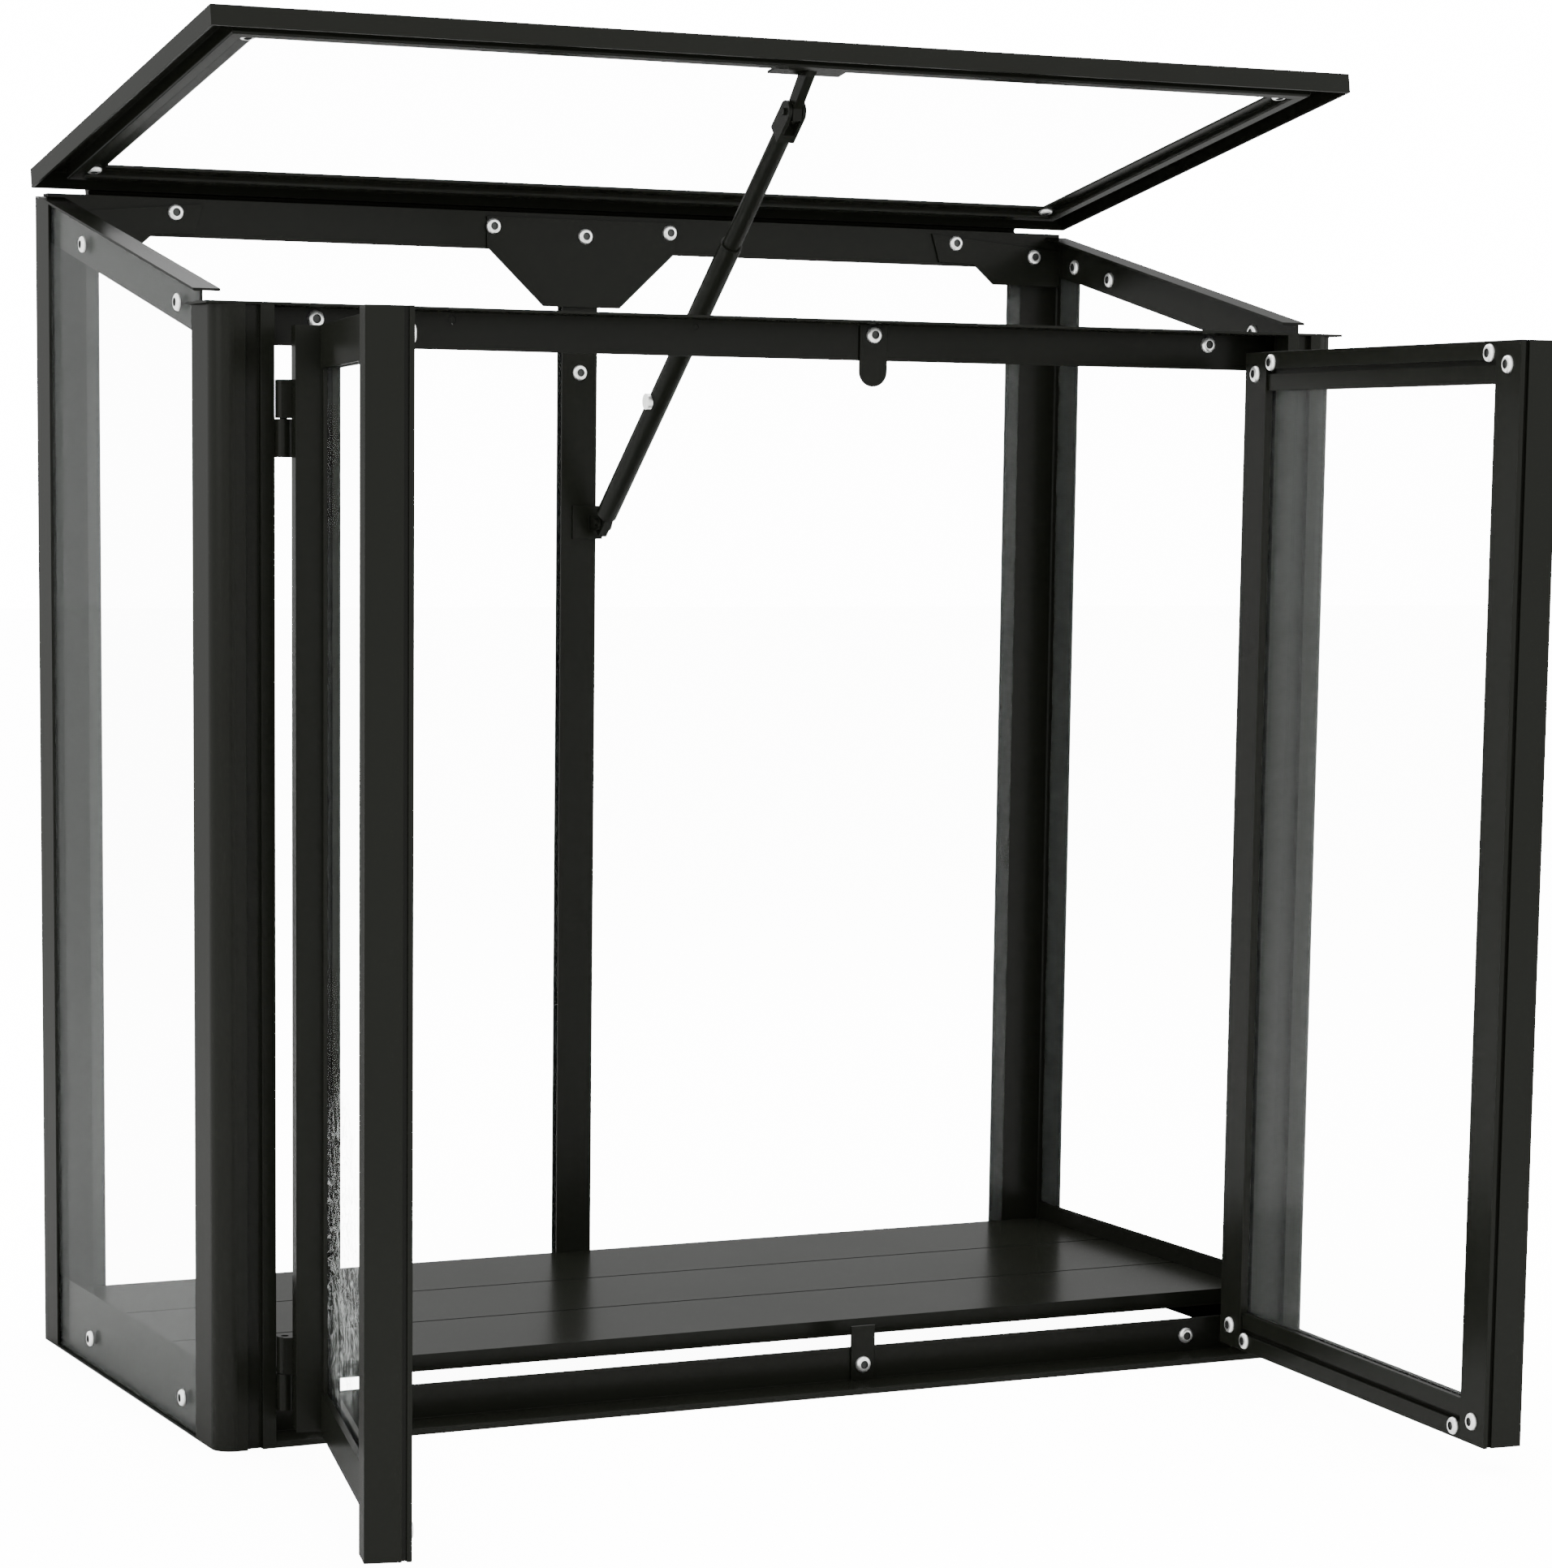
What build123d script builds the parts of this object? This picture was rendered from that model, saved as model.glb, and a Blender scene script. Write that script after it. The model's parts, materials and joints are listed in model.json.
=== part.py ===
"""Cold frame: a free-standing cabinet of black aluminium extrusions with clear panes.

The origin is on the floor, at the middle of the underside of the front base rail. +X is to the
right, +Y to the rear and +Z up, in millimetres. The doors and the lid are drawn open.
"""
from math import atan2, cos, radians, sin

from build123d import *
import os

os.makedirs("parts", exist_ok=True)

# ---------------------------------------------------------------- overall sizes
WIDTH = 1000.0
DEPTH = 480.0
FRONT_HEIGHT = 885.0
REAR_HEIGHT = 990.0

# ---------------------------------------------------------------- sheet, panes and fits
WALL = 2.0
PANE = 3.0
PANE_GAP = 0.4
RUN_GAP = 0.08
SEAT_GAP = 0.5

# ---------------------------------------------------------------- frame
POST_WIDTH = 48.0
POST_DEPTH = 54.0
REAR_POST_WIDTH = 56.0
REAR_POST_DEPTH = 42.0
FRONT_CORNER_RADIUS = 16.0
REAR_CORNER_RADIUS = 4.0
GROOVE_START = 25.0
GROOVE_WIDTH = 12.0
GROOVE_DEPTH = 5.0
POST_LIP = 22.0
FRONT_WEB_SETBACK = 48.0
REAR_WEB_SETBACK = 12.0
FRONT_RAIL_HEIGHT = 31.0
REAR_RAIL_HEIGHT = 33.0
SIDE_RAIL_HEIGHT = 36.0
SIDE_RAIL_CAP = 22.0
RAIL_TIP = 6.0
FRONT_BASE_HEIGHT = 30.0
SIDE_BASE_HEIGHT = 62.0
REAR_BASE_HEIGHT = 38.0
CENTRE_POST_WIDTH = 34.0

# ---------------------------------------------------------------- shelf
SHELF_TOP = 46.0
SHELF_FRONT_SETBACK = 85.0
SHELF_BOARDS = 3
BOARD_GAP = 2.5
BOARD_LIP = 12.0
BEARER_FLANGE = 20.0
BEARER_HEIGHT = 18.0

# ---------------------------------------------------------------- doors
HINGE_INSET = 55.0
DOOR_OFFSET = 5.0
DOOR_EDGE_GAP = 9.0
MEETING_GAP = 5.0
DOOR_BOTTOM = 20.0
DOOR_TOP_CLEARANCE = 18.0
STILE_WIDTH = 36.0
STILE_DEPTH = 33.0
STILE_BOX_WIDTH = 28.0
STILE_BOX_DEPTH = 26.0
STILE_SLOT_START = 23.0
STILE_SLOT_DEPTH = 6.0
DOOR_RAIL_HEIGHT = 32.0
DOOR_RAIL_FACE = 18.0
LEFT_DOOR_OPEN = 103.0
RIGHT_DOOR_OPEN = 86.0
KNUCKLE_RADIUS = 6.5
KNUCKLE_LENGTH = 29.0
PIN_RADIUS = 3.0
HINGE_HEIGHTS = (60.0, 798.0)

# ---------------------------------------------------------------- lid
LID_OVERHANG = 3.0
LID_RAIL_WIDTH = 50.0
LID_SKIRT = 16.0
LID_LEDGE = 7.0
LID_OPEN = 10.8
LID_AXIS_BEHIND = 5.0
LID_AXIS_ABOVE = 5.0
LID_REAR_GAP = 7.0
LID_SEAT_GAP = 2.0
BEAD_RADIUS = 4.0
CHANNEL_WALL = 2.4
CHANNEL_FOOT = 24.0

# ---------------------------------------------------------------- stay
STAY_X = 16.0
STAY_FOOT_HEIGHT = 716.0
STAY_FOOT_REACH = 18.0
STAY_TOP_RUN = 419.0
STAY_TOP_DROP = 20.7
LOWER_TUBE_RADIUS = 9.5
LOWER_TUBE_LENGTH = 356.0
UPPER_TUBE_RADIUS = 7.8
UPPER_TUBE_LENGTH = 280.0
STAY_PIN_RADIUS = 3.0
LUG_THICKNESS = 8.0

# ---------------------------------------------------------------- screws
HEAD_RADIUS = 7.0
HEAD_HEIGHT = 3.2
SHANK_RADIUS = 2.4
RECESS_RADIUS = 2.9
RECESS_DEPTH = 1.8

# ---------------------------------------------------------------- derived places
FRONT = -(FRONT_WEB_SETBACK + WALL) / 2
REAR = FRONT + DEPTH
SIDE = WIDTH / 2
SLOPE = atan2(REAR_HEIGHT - FRONT_HEIGHT, DEPTH)
INNER_SIDE = SIDE - WALL
PANE_OUTER = INNER_SIDE - PANE_GAP
WEB_OUTER = PANE_OUTER - PANE - PANE_GAP
WEB_INNER = WEB_OUTER - WALL
FRONT_WEB = FRONT + FRONT_WEB_SETBACK
REAR_WEB = REAR - REAR_WEB_SETBACK - WALL
HINGE_X = SIDE - HINGE_INSET
DOOR_HEIGHT = FRONT_HEIGHT - DOOR_TOP_CLEARANCE - DOOR_BOTTOM
DOOR_MIDDLE = DOOR_BOTTOM + DOOR_HEIGHT / 2
DOOR_END = HINGE_X - MEETING_GAP / 2
PANE_SLOT = STILE_SLOT_START + PANE_GAP
LID_AXIS_Y = REAR + LID_AXIS_BEHIND
LID_AXIS_Z = REAR_HEIGHT + LID_AXIS_ABOVE
LID_RISE = radians(LID_OPEN)


def keep(piece, name):
    """Label a piece and write it out."""
    piece.part.label = name
    export_step(piece.part, f"parts/{name}.step")


def roof(y):
    """Height of the roof plane at a depth."""
    return FRONT_HEIGHT + (y - FRONT) * (REAR_HEIGHT - FRONT_HEIGHT) / DEPTH


def folded(points, radii=0.0, side=Side.LEFT):
    """Sketch of a thin section that follows the points, one wall thick."""
    with BuildSketch() as section:
        with BuildLine():
            FilletPolyline(*points, radius=radii)
            offset(amount=WALL, side=side)
        make_face()
    return section.sketch


def bar(plane, section, start, end):
    """Extrusion of a section from one distance to another along a plane's normal."""
    with BuildPart() as piece:
        with BuildSketch(plane.offset(start)):
            add(section)
        extrude(amount=end - start)
    return piece


def mirrored(piece):
    """The same piece on the other side of the cabinet."""
    with BuildPart() as twin:
        mirror(piece.part, about=Plane.YZ)
    return twin


def plate(plane, points, thickness=WALL):
    """Flat plate cut to an outline."""
    with BuildPart() as piece:
        with BuildSketch(plane):
            with BuildLine():
                Polyline(*points, close=True)
            make_face()
        extrude(amount=thickness)
    return piece


def button_screw(grip):
    """Button-head screw with a hexagon recess, standing on its seat, with a shank as long as the grip."""
    with BuildPart() as screw:
        with BuildSketch(Plane.XZ):
            with BuildLine():
                Polyline((RECESS_RADIUS, HEAD_HEIGHT), (0, HEAD_HEIGHT), (0, -grip), (SHANK_RADIUS, -grip),
                         (SHANK_RADIUS, 0), (HEAD_RADIUS, 0))
                ThreePointArc((HEAD_RADIUS, 0), (HEAD_RADIUS * 0.8, HEAD_HEIGHT * 0.72),
                              (RECESS_RADIUS, HEAD_HEIGHT))
            make_face()
        revolve(axis=Axis.Z)
        with BuildSketch(Plane.XY.offset(HEAD_HEIGHT)):
            RegularPolygon(RECESS_RADIUS, 6)
        extrude(amount=-RECESS_DEPTH, mode=Mode.SUBTRACT)
    return screw.part


def screw_group(batches):
    """Separate screws: each batch is a grip and the seat planes of its screws."""
    with BuildPart() as group:
        for grip, seats in batches:
            screw = button_screw(grip)
            with Locations(*seats):
                add(screw)
    return group


def facing(x, y, z, direction):
    """Seat plane at a point, looking along a direction."""
    return Plane(origin=(x, y, z), z_dir=direction)


# ================================================================ corner posts
def corner_post(front):
    """Left corner post with its bead towards the opening, for the front or the rear."""
    radius = FRONT_CORNER_RADIUS if front else REAR_CORNER_RADIUS
    turn = 1 if front else -1
    edge = FRONT if front else REAR
    places = [(0, POST_DEPTH if front else REAR_POST_DEPTH), (0, 0)]
    radii = [radius]
    if front:
        groove_end = GROOVE_START + GROOVE_WIDTH
        places += [(GROOVE_START, 0), (GROOVE_START, GROOVE_DEPTH),
                   (groove_end, GROOVE_DEPTH), (groove_end, 0)]
        radii += [0, 0, 0, 0]
    places += [(POST_WIDTH if front else REAR_POST_WIDTH, 0)]
    if front:
        places += [(POST_WIDTH, POST_LIP)]
        radii += [0]
    points = [(-SIDE + across, edge + turn * deep) for across, deep in places]
    top = (FRONT_HEIGHT if front else REAR_HEIGHT) - WALL
    with BuildPart() as post:
        add(bar(Plane.XY, folded(points, radii, Side.LEFT if front else Side.RIGHT), 0, top).part)
        if not front:
            roof_normal = (0, -sin(SLOPE), cos(SLOPE))
            split(bisect_by=Plane(origin=(0, REAR, top), z_dir=roof_normal), keep=Keep.BOTTOM)
    return post


front_left_post = corner_post(front=True)
keep(front_left_post, "front_left_post")
keep(mirrored(front_left_post), "front_right_post")
rear_left_post = corner_post(front=False)
keep(rear_left_post, "rear_left_post")
keep(mirrored(rear_left_post), "rear_right_post")

# The rear centre post is an I section, and the rear panes run in its two sides.
with BuildPart() as rear_centre_post:
    with BuildSketch() as centre_section:
        for y in (REAR - WALL / 2, REAR_WEB + WALL * 1.5):
            with Locations((0, y)):
                Rectangle(CENTRE_POST_WIDTH, WALL)
        with Locations((0, REAR - REAR_WEB_SETBACK / 2)):
            Rectangle(WALL, REAR_WEB_SETBACK)
    extrude(amount=REAR_HEIGHT - WALL)
keep(rear_centre_post, "rear_centre_post")

# ================================================================ top rails
with BuildPart() as front_top_rail:
    with BuildSketch(Plane.YZ.offset(-WEB_INNER)):
        with Locations((FRONT_WEB + WALL / 2, FRONT_HEIGHT - FRONT_RAIL_HEIGHT / 2 - WALL / 2)):
            Rectangle(WALL, FRONT_RAIL_HEIGHT - WALL)
    extrude(amount=2 * WEB_INNER)
    with BuildSketch(Plane.XY.offset(FRONT_HEIGHT - WALL)):
        with Locations((0, (FRONT + FRONT_WEB + WALL) / 2)):
            Rectangle(WIDTH + 2 * RAIL_TIP, FRONT_WEB + WALL - FRONT)
    extrude(amount=WALL)
    hole_height = FRONT_HEIGHT - 7.5
    with BuildSketch(Plane.XZ.offset(-FRONT_WEB)):
        with Locations((-289, hole_height)):
            Circle(3.3)
        with Locations((-79, hole_height)):
            Circle(2.5)
    extrude(amount=-WALL, mode=Mode.SUBTRACT)
keep(front_top_rail, "front_top_rail")

with BuildPart() as rear_top_rail:
    with BuildSketch(Plane.YZ.offset(-WEB_INNER)):
        with Locations((REAR_WEB + WALL / 2, REAR_HEIGHT - REAR_RAIL_HEIGHT / 2 - WALL / 2)):
            Rectangle(WALL, REAR_RAIL_HEIGHT - WALL)
    extrude(amount=2 * WEB_INNER)
    with BuildSketch(Plane.XY.offset(REAR_HEIGHT - WALL)):
        with Locations((0, (REAR_WEB + REAR) / 2)):
            Rectangle(2 * WEB_INNER, REAR - REAR_WEB)
    extrude(amount=WALL)
keep(rear_top_rail, "rear_top_rail")


def along_roof(outline_top, outline_bottom, x, thickness, start, end):
    """Upright strip under the roof plane, between two depths."""
    outline = [(start, roof(start) - outline_top), (end, roof(end) - outline_top),
               (end, roof(end) - outline_bottom), (start, roof(start) - outline_bottom)]
    return plate(Plane.YZ.offset(x), outline, thickness)


cap_start = FRONT_WEB + WALL
cap_end = REAR_WEB
with BuildPart() as left_top_rail:
    add(along_roof(WALL, SIDE_RAIL_HEIGHT, -WEB_OUTER, WALL, cap_start, cap_end).part)
    add(along_roof(0, WALL, -SIDE, SIDE_RAIL_CAP, cap_start, cap_end).part)
keep(left_top_rail, "left_top_rail")
keep(mirrored(left_top_rail), "right_top_rail")

# ================================================================ base rails
with BuildPart() as front_base_rail:
    with BuildSketch(Plane.YZ.offset(-WEB_INNER)):
        with Locations((FRONT_WEB + WALL / 2, (FRONT_BASE_HEIGHT + WALL) / 2)):
            Rectangle(WALL, FRONT_BASE_HEIGHT - WALL)
    extrude(amount=2 * WEB_INNER)
    with BuildSketch(Plane.XY):
        with Locations((0, 0)):
            Rectangle(2 * (SIDE - POST_WIDTH), FRONT_WEB_SETBACK + WALL)
    extrude(amount=WALL)
    with BuildSketch(Plane.XZ.offset(-FRONT)):
        with Locations((0, 3.5)):
            Rectangle(2 * (SIDE - POST_WIDTH), 3)
    extrude(amount=-WALL)
keep(front_base_rail, "front_base_rail")

bay_start = CENTRE_POST_WIDTH / 2
bay_end = SIDE - REAR_POST_WIDTH
with BuildPart() as rear_base_rail:
    with BuildSketch(Plane.YZ.offset(-WEB_INNER)):
        with Locations((REAR_WEB + WALL / 2, REAR_BASE_HEIGHT / 2)):
            Rectangle(WALL, REAR_BASE_HEIGHT)
    extrude(amount=2 * WEB_INNER)
    with BuildSketch(Plane.XY):
        for sign in (-1, 1):
            with Locations((sign * (bay_start + bay_end) / 2, REAR - REAR_WEB_SETBACK / 2)):
                Rectangle(bay_end - bay_start, REAR_WEB_SETBACK)
    extrude(amount=WALL)
keep(rear_base_rail, "rear_base_rail")

with BuildPart() as left_base_rail:
    base_length = cap_end - cap_start
    with BuildSketch(Plane.XY):
        with Locations((-WEB_OUTER + WALL / 2, (cap_start + cap_end) / 2)):
            Rectangle(WALL, base_length)
    extrude(amount=SIDE_BASE_HEIGHT)
    with BuildSketch(Plane.XY):
        with Locations((-(INNER_SIDE + WEB_OUTER) / 2, (cap_start + cap_end) / 2)):
            Rectangle(INNER_SIDE - WEB_OUTER, base_length)
        with Locations((-SIDE + WALL / 2, (FRONT + POST_DEPTH + REAR - REAR_POST_DEPTH) / 2)):
            Rectangle(WALL, DEPTH - POST_DEPTH - REAR_POST_DEPTH)
    extrude(amount=WALL)
keep(left_base_rail, "left_base_rail")
keep(mirrored(left_base_rail), "right_base_rail")

# ================================================================ rear gusset and brackets
GUSSET_TOP = 92.0
GUSSET_FOOT = 37.0
GUSSET_DROP = 82.0
gusset_plane = Plane.XZ.offset(-REAR_WEB)
rail_bottom = REAR_HEIGHT - REAR_RAIL_HEIGHT
gusset_outline = [(-GUSSET_TOP, REAR_HEIGHT - WALL - 2), (-GUSSET_TOP, rail_bottom + 2),
                  (-GUSSET_FOOT, REAR_HEIGHT - GUSSET_DROP), (GUSSET_FOOT, REAR_HEIGHT - GUSSET_DROP),
                  (GUSSET_TOP, rail_bottom + 2), (GUSSET_TOP, REAR_HEIGHT - WALL - 2)]
keep(plate(gusset_plane, gusset_outline), "rear_gusset")

BRACKET_REACH = 355.0
left_bracket_outline = [(-BRACKET_REACH, REAR_HEIGHT - WALL - 2), (-BRACKET_REACH - 8, rail_bottom + 3),
                        (-BRACKET_REACH - 45, rail_bottom + 2), (-BRACKET_REACH - 66, rail_bottom - 16),
                        (-WEB_INNER, rail_bottom - 16), (-WEB_INNER, REAR_HEIGHT - WALL - 14)]
rear_left_bracket = plate(gusset_plane, left_bracket_outline)
keep(rear_left_bracket, "rear_left_bracket")
keep(mirrored(rear_left_bracket), "rear_right_bracket")

# ================================================================ shelf
SHELF_START = FRONT + SHELF_FRONT_SETBACK
SHELF_END = REAR_WEB
BOARD_DEPTH = (SHELF_END - SHELF_START - (SHELF_BOARDS - 1) * BOARD_GAP) / SHELF_BOARDS
LIP_CLEARANCE = 1.0
SHELF_LENGTH = 2 * WEB_INNER
with BuildPart() as left_shelf_bearer:
    bearer_top = SHELF_TOP - WALL
    with BuildSketch(Plane.XZ.offset(-SHELF_START)):
        with Locations((-WEB_INNER + WALL / 2, bearer_top - BEARER_HEIGHT / 2)):
            Rectangle(WALL, BEARER_HEIGHT)
        with Locations((-WEB_INNER + BEARER_FLANGE / 2, bearer_top - WALL / 2)):
            Rectangle(BEARER_FLANGE, WALL)
    extrude(amount=-(SHELF_END - SHELF_START))
keep(left_shelf_bearer, "left_shelf_bearer")
keep(mirrored(left_shelf_bearer), "right_shelf_bearer")

for index, place in enumerate(("front", "middle", "rear")):
    board_start = SHELF_START + index * (BOARD_DEPTH + BOARD_GAP)
    with BuildPart() as shelf_board:
        with BuildSketch(Plane.XY.offset(SHELF_TOP - WALL)):
            with Locations((0, board_start + BOARD_DEPTH / 2)):
                Rectangle(SHELF_LENGTH, BOARD_DEPTH)
        extrude(amount=WALL)
        with BuildSketch(Plane.XY.offset(SHELF_TOP - WALL)):
            for y in (board_start + WALL / 2, board_start + BOARD_DEPTH - WALL / 2):
                with Locations((0, y)):
                    Rectangle(SHELF_LENGTH - 2 * (BEARER_FLANGE + LIP_CLEARANCE), WALL)
        extrude(amount=-BOARD_LIP)
    keep(shelf_board, f"shelf_board_{place}")

# ================================================================ fixed panes
PANE_LAP = 12.0
pane_bottom = WALL + PANE_GAP
pane_start = FRONT_WEB + WALL + PANE_GAP
pane_end = REAR_WEB - PANE_GAP
side_pane_outline = [(pane_start, pane_bottom), (pane_end, pane_bottom),
                     (pane_end, roof(pane_end) - WALL - PANE_GAP),
                     (pane_start, roof(pane_start) - WALL - PANE_GAP)]
side_screw_marks = []
for depth in (FRONT + 94, FRONT + 345):
    side_screw_marks += [(depth, 25), (depth, roof(depth) - 19)]
with BuildPart() as left_side_pane:
    add(plate(Plane.YZ.offset(-PANE_OUTER), side_pane_outline, PANE).part)
    with BuildSketch(Plane.YZ.offset(-PANE_OUTER)):
        with Locations(*side_screw_marks):
            Circle(SHANK_RADIUS + PANE_GAP)
    extrude(amount=PANE, mode=Mode.SUBTRACT)
keep(left_side_pane, "left_side_pane")
keep(mirrored(left_side_pane), "right_side_pane")

rear_pane_edge = SIDE - REAR_POST_WIDTH + PANE_LAP
with BuildPart() as rear_left_pane:
    with BuildSketch(Plane.XZ.offset(-(REAR - WALL - PANE_GAP))):
        with Locations((-(rear_pane_edge + WALL) / 2, REAR_HEIGHT / 2)):
            Rectangle(rear_pane_edge - WALL, REAR_HEIGHT - 2 * WALL - 4)
    extrude(amount=PANE)
keep(rear_left_pane, "rear_left_pane")
keep(mirrored(rear_left_pane), "rear_right_pane")

# ================================================================ door stops
STOP_X = 81.0
STOP_WIDTH = 25.0
STOP_DROP = 21.0
with BuildPart() as door_stop_top:
    with BuildSketch(Plane.XZ.offset(-FRONT_WEB)):
        stop_top = FRONT_HEIGHT - WALL
        stop_end = FRONT_HEIGHT - FRONT_RAIL_HEIGHT - STOP_DROP + STOP_WIDTH / 2
        with Locations((STOP_X, (stop_top + stop_end) / 2)):
            Rectangle(STOP_WIDTH, stop_top - stop_end)
        with Locations((STOP_X, stop_end)):
            Circle(STOP_WIDTH / 2)
    extrude(amount=WALL)
keep(door_stop_top, "door_stop_top")
with BuildPart() as door_stop_bottom:
    with BuildSketch(Plane.XZ.offset(-FRONT_WEB)):
        with Locations((STOP_X + 5, (FRONT_BASE_HEIGHT + STOP_DROP - 3 + WALL) / 2)):
            Rectangle(STOP_WIDTH - 3, FRONT_BASE_HEIGHT + STOP_DROP - 3 - WALL)
    extrude(amount=WALL)
keep(door_stop_bottom, "door_stop_bottom")

# ================================================================ frame screws
rear_seats = [facing(x, REAR_WEB - WALL, z, (0, -1, 0))
              for x, z in ((-86, 977), (3, 971), (86, 977), (-380, 978), (380, 978), (464, 968), (-464, 968))]
front_seats = [facing(402, FRONT_WEB, 875, (0, -1, 0)), facing(STOP_X, FRONT_WEB - WALL, 875, (0, -1, 0)),
               facing(405, FRONT_WEB, 15, (0, -1, 0)), facing(STOP_X + 5, FRONT_WEB - WALL, 15, (0, -1, 0)),
               facing(-402, FRONT_WEB, 875, (0, -1, 0)), facing(-405, FRONT_WEB, 15, (0, -1, 0))]
post_seats = [facing(0, REAR_WEB + WALL, 850, (0, -1, 0))]
roof_seats = []
side_seats = []
for sign in (-1, 1):
    for depth in (FRONT + 120, FRONT + 370, FRONT + 435):
        roof_seats.append(facing(sign * WEB_INNER, depth, roof(depth) - 22, (-sign, 0, 0)))
    for depth, height in side_screw_marks:
        side_seats.append(facing(sign * PANE_OUTER, depth, height, (sign, 0, 0)))
through_pane = PANE + PANE_GAP + WALL
keep(screw_group([(2 * WALL, rear_seats + front_seats + post_seats), (WALL, roof_seats),
                  (through_pane, side_seats)]), "frame_screws")


# ================================================================ doors
def door_plane(left):
    """Plane at a door's mid-height: x from the hinge to the free edge, y from the outer face inwards."""
    angle = radians(LEFT_DOOR_OPEN if left else RIGHT_DOOR_OPEN)
    sign = -1 if left else 1
    return Plane(origin=(sign * HINGE_X, FRONT, DOOR_MIDDLE), x_dir=(-sign * cos(angle), -sin(angle), 0),
                 z_dir=(0, 0, -sign))


def stile_section():
    """Stile section from its outer edge towards the pane, and from the outer face inwards."""
    lip = STILE_SLOT_START - WALL - 1
    pane_end = STILE_SLOT_START + PANE + 2 * PANE_GAP
    with BuildSketch() as section:
        with BuildLine():
            Polyline((0, 0), (STILE_BOX_WIDTH, 0), (STILE_BOX_WIDTH, lip), (STILE_WIDTH, lip),
                     (STILE_WIDTH, STILE_SLOT_START), (STILE_WIDTH - STILE_SLOT_DEPTH, STILE_SLOT_START),
                     (STILE_WIDTH - STILE_SLOT_DEPTH, pane_end), (STILE_WIDTH, pane_end),
                     (STILE_WIDTH, STILE_DEPTH), (0, STILE_DEPTH), (0, STILE_BOX_DEPTH + 3.5),
                     (3, STILE_BOX_DEPTH + 3.5), (3, STILE_BOX_DEPTH), (0, STILE_BOX_DEPTH), close=True)
        make_face()
        with Locations((STILE_BOX_WIDTH / 2, lip / 2 + 1)):
            Rectangle(STILE_BOX_WIDTH - 2 * WALL, lip - 2 * WALL + 2, mode=Mode.SUBTRACT)
    return section.sketch


def rail_section():
    """Door rail section from its outer edge towards the pane, and from the outer face inwards."""
    pane_end = STILE_SLOT_START + PANE + 2 * PANE_GAP
    slot = DOOR_RAIL_HEIGHT - STILE_SLOT_DEPTH
    with BuildSketch() as section:
        with BuildLine():
            Polyline((0, DOOR_RAIL_FACE), (DOOR_RAIL_HEIGHT, DOOR_RAIL_FACE),
                     (DOOR_RAIL_HEIGHT, STILE_SLOT_START),
                     (slot, STILE_SLOT_START), (slot, pane_end), (DOOR_RAIL_HEIGHT, pane_end),
                     (DOOR_RAIL_HEIGHT, STILE_DEPTH - 2), (18, STILE_DEPTH - 2), (18, STILE_DEPTH - 5),
                     (14, STILE_DEPTH - 5), (14, STILE_DEPTH), (0, STILE_DEPTH), close=True)
        make_face()
    return section.sketch


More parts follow.
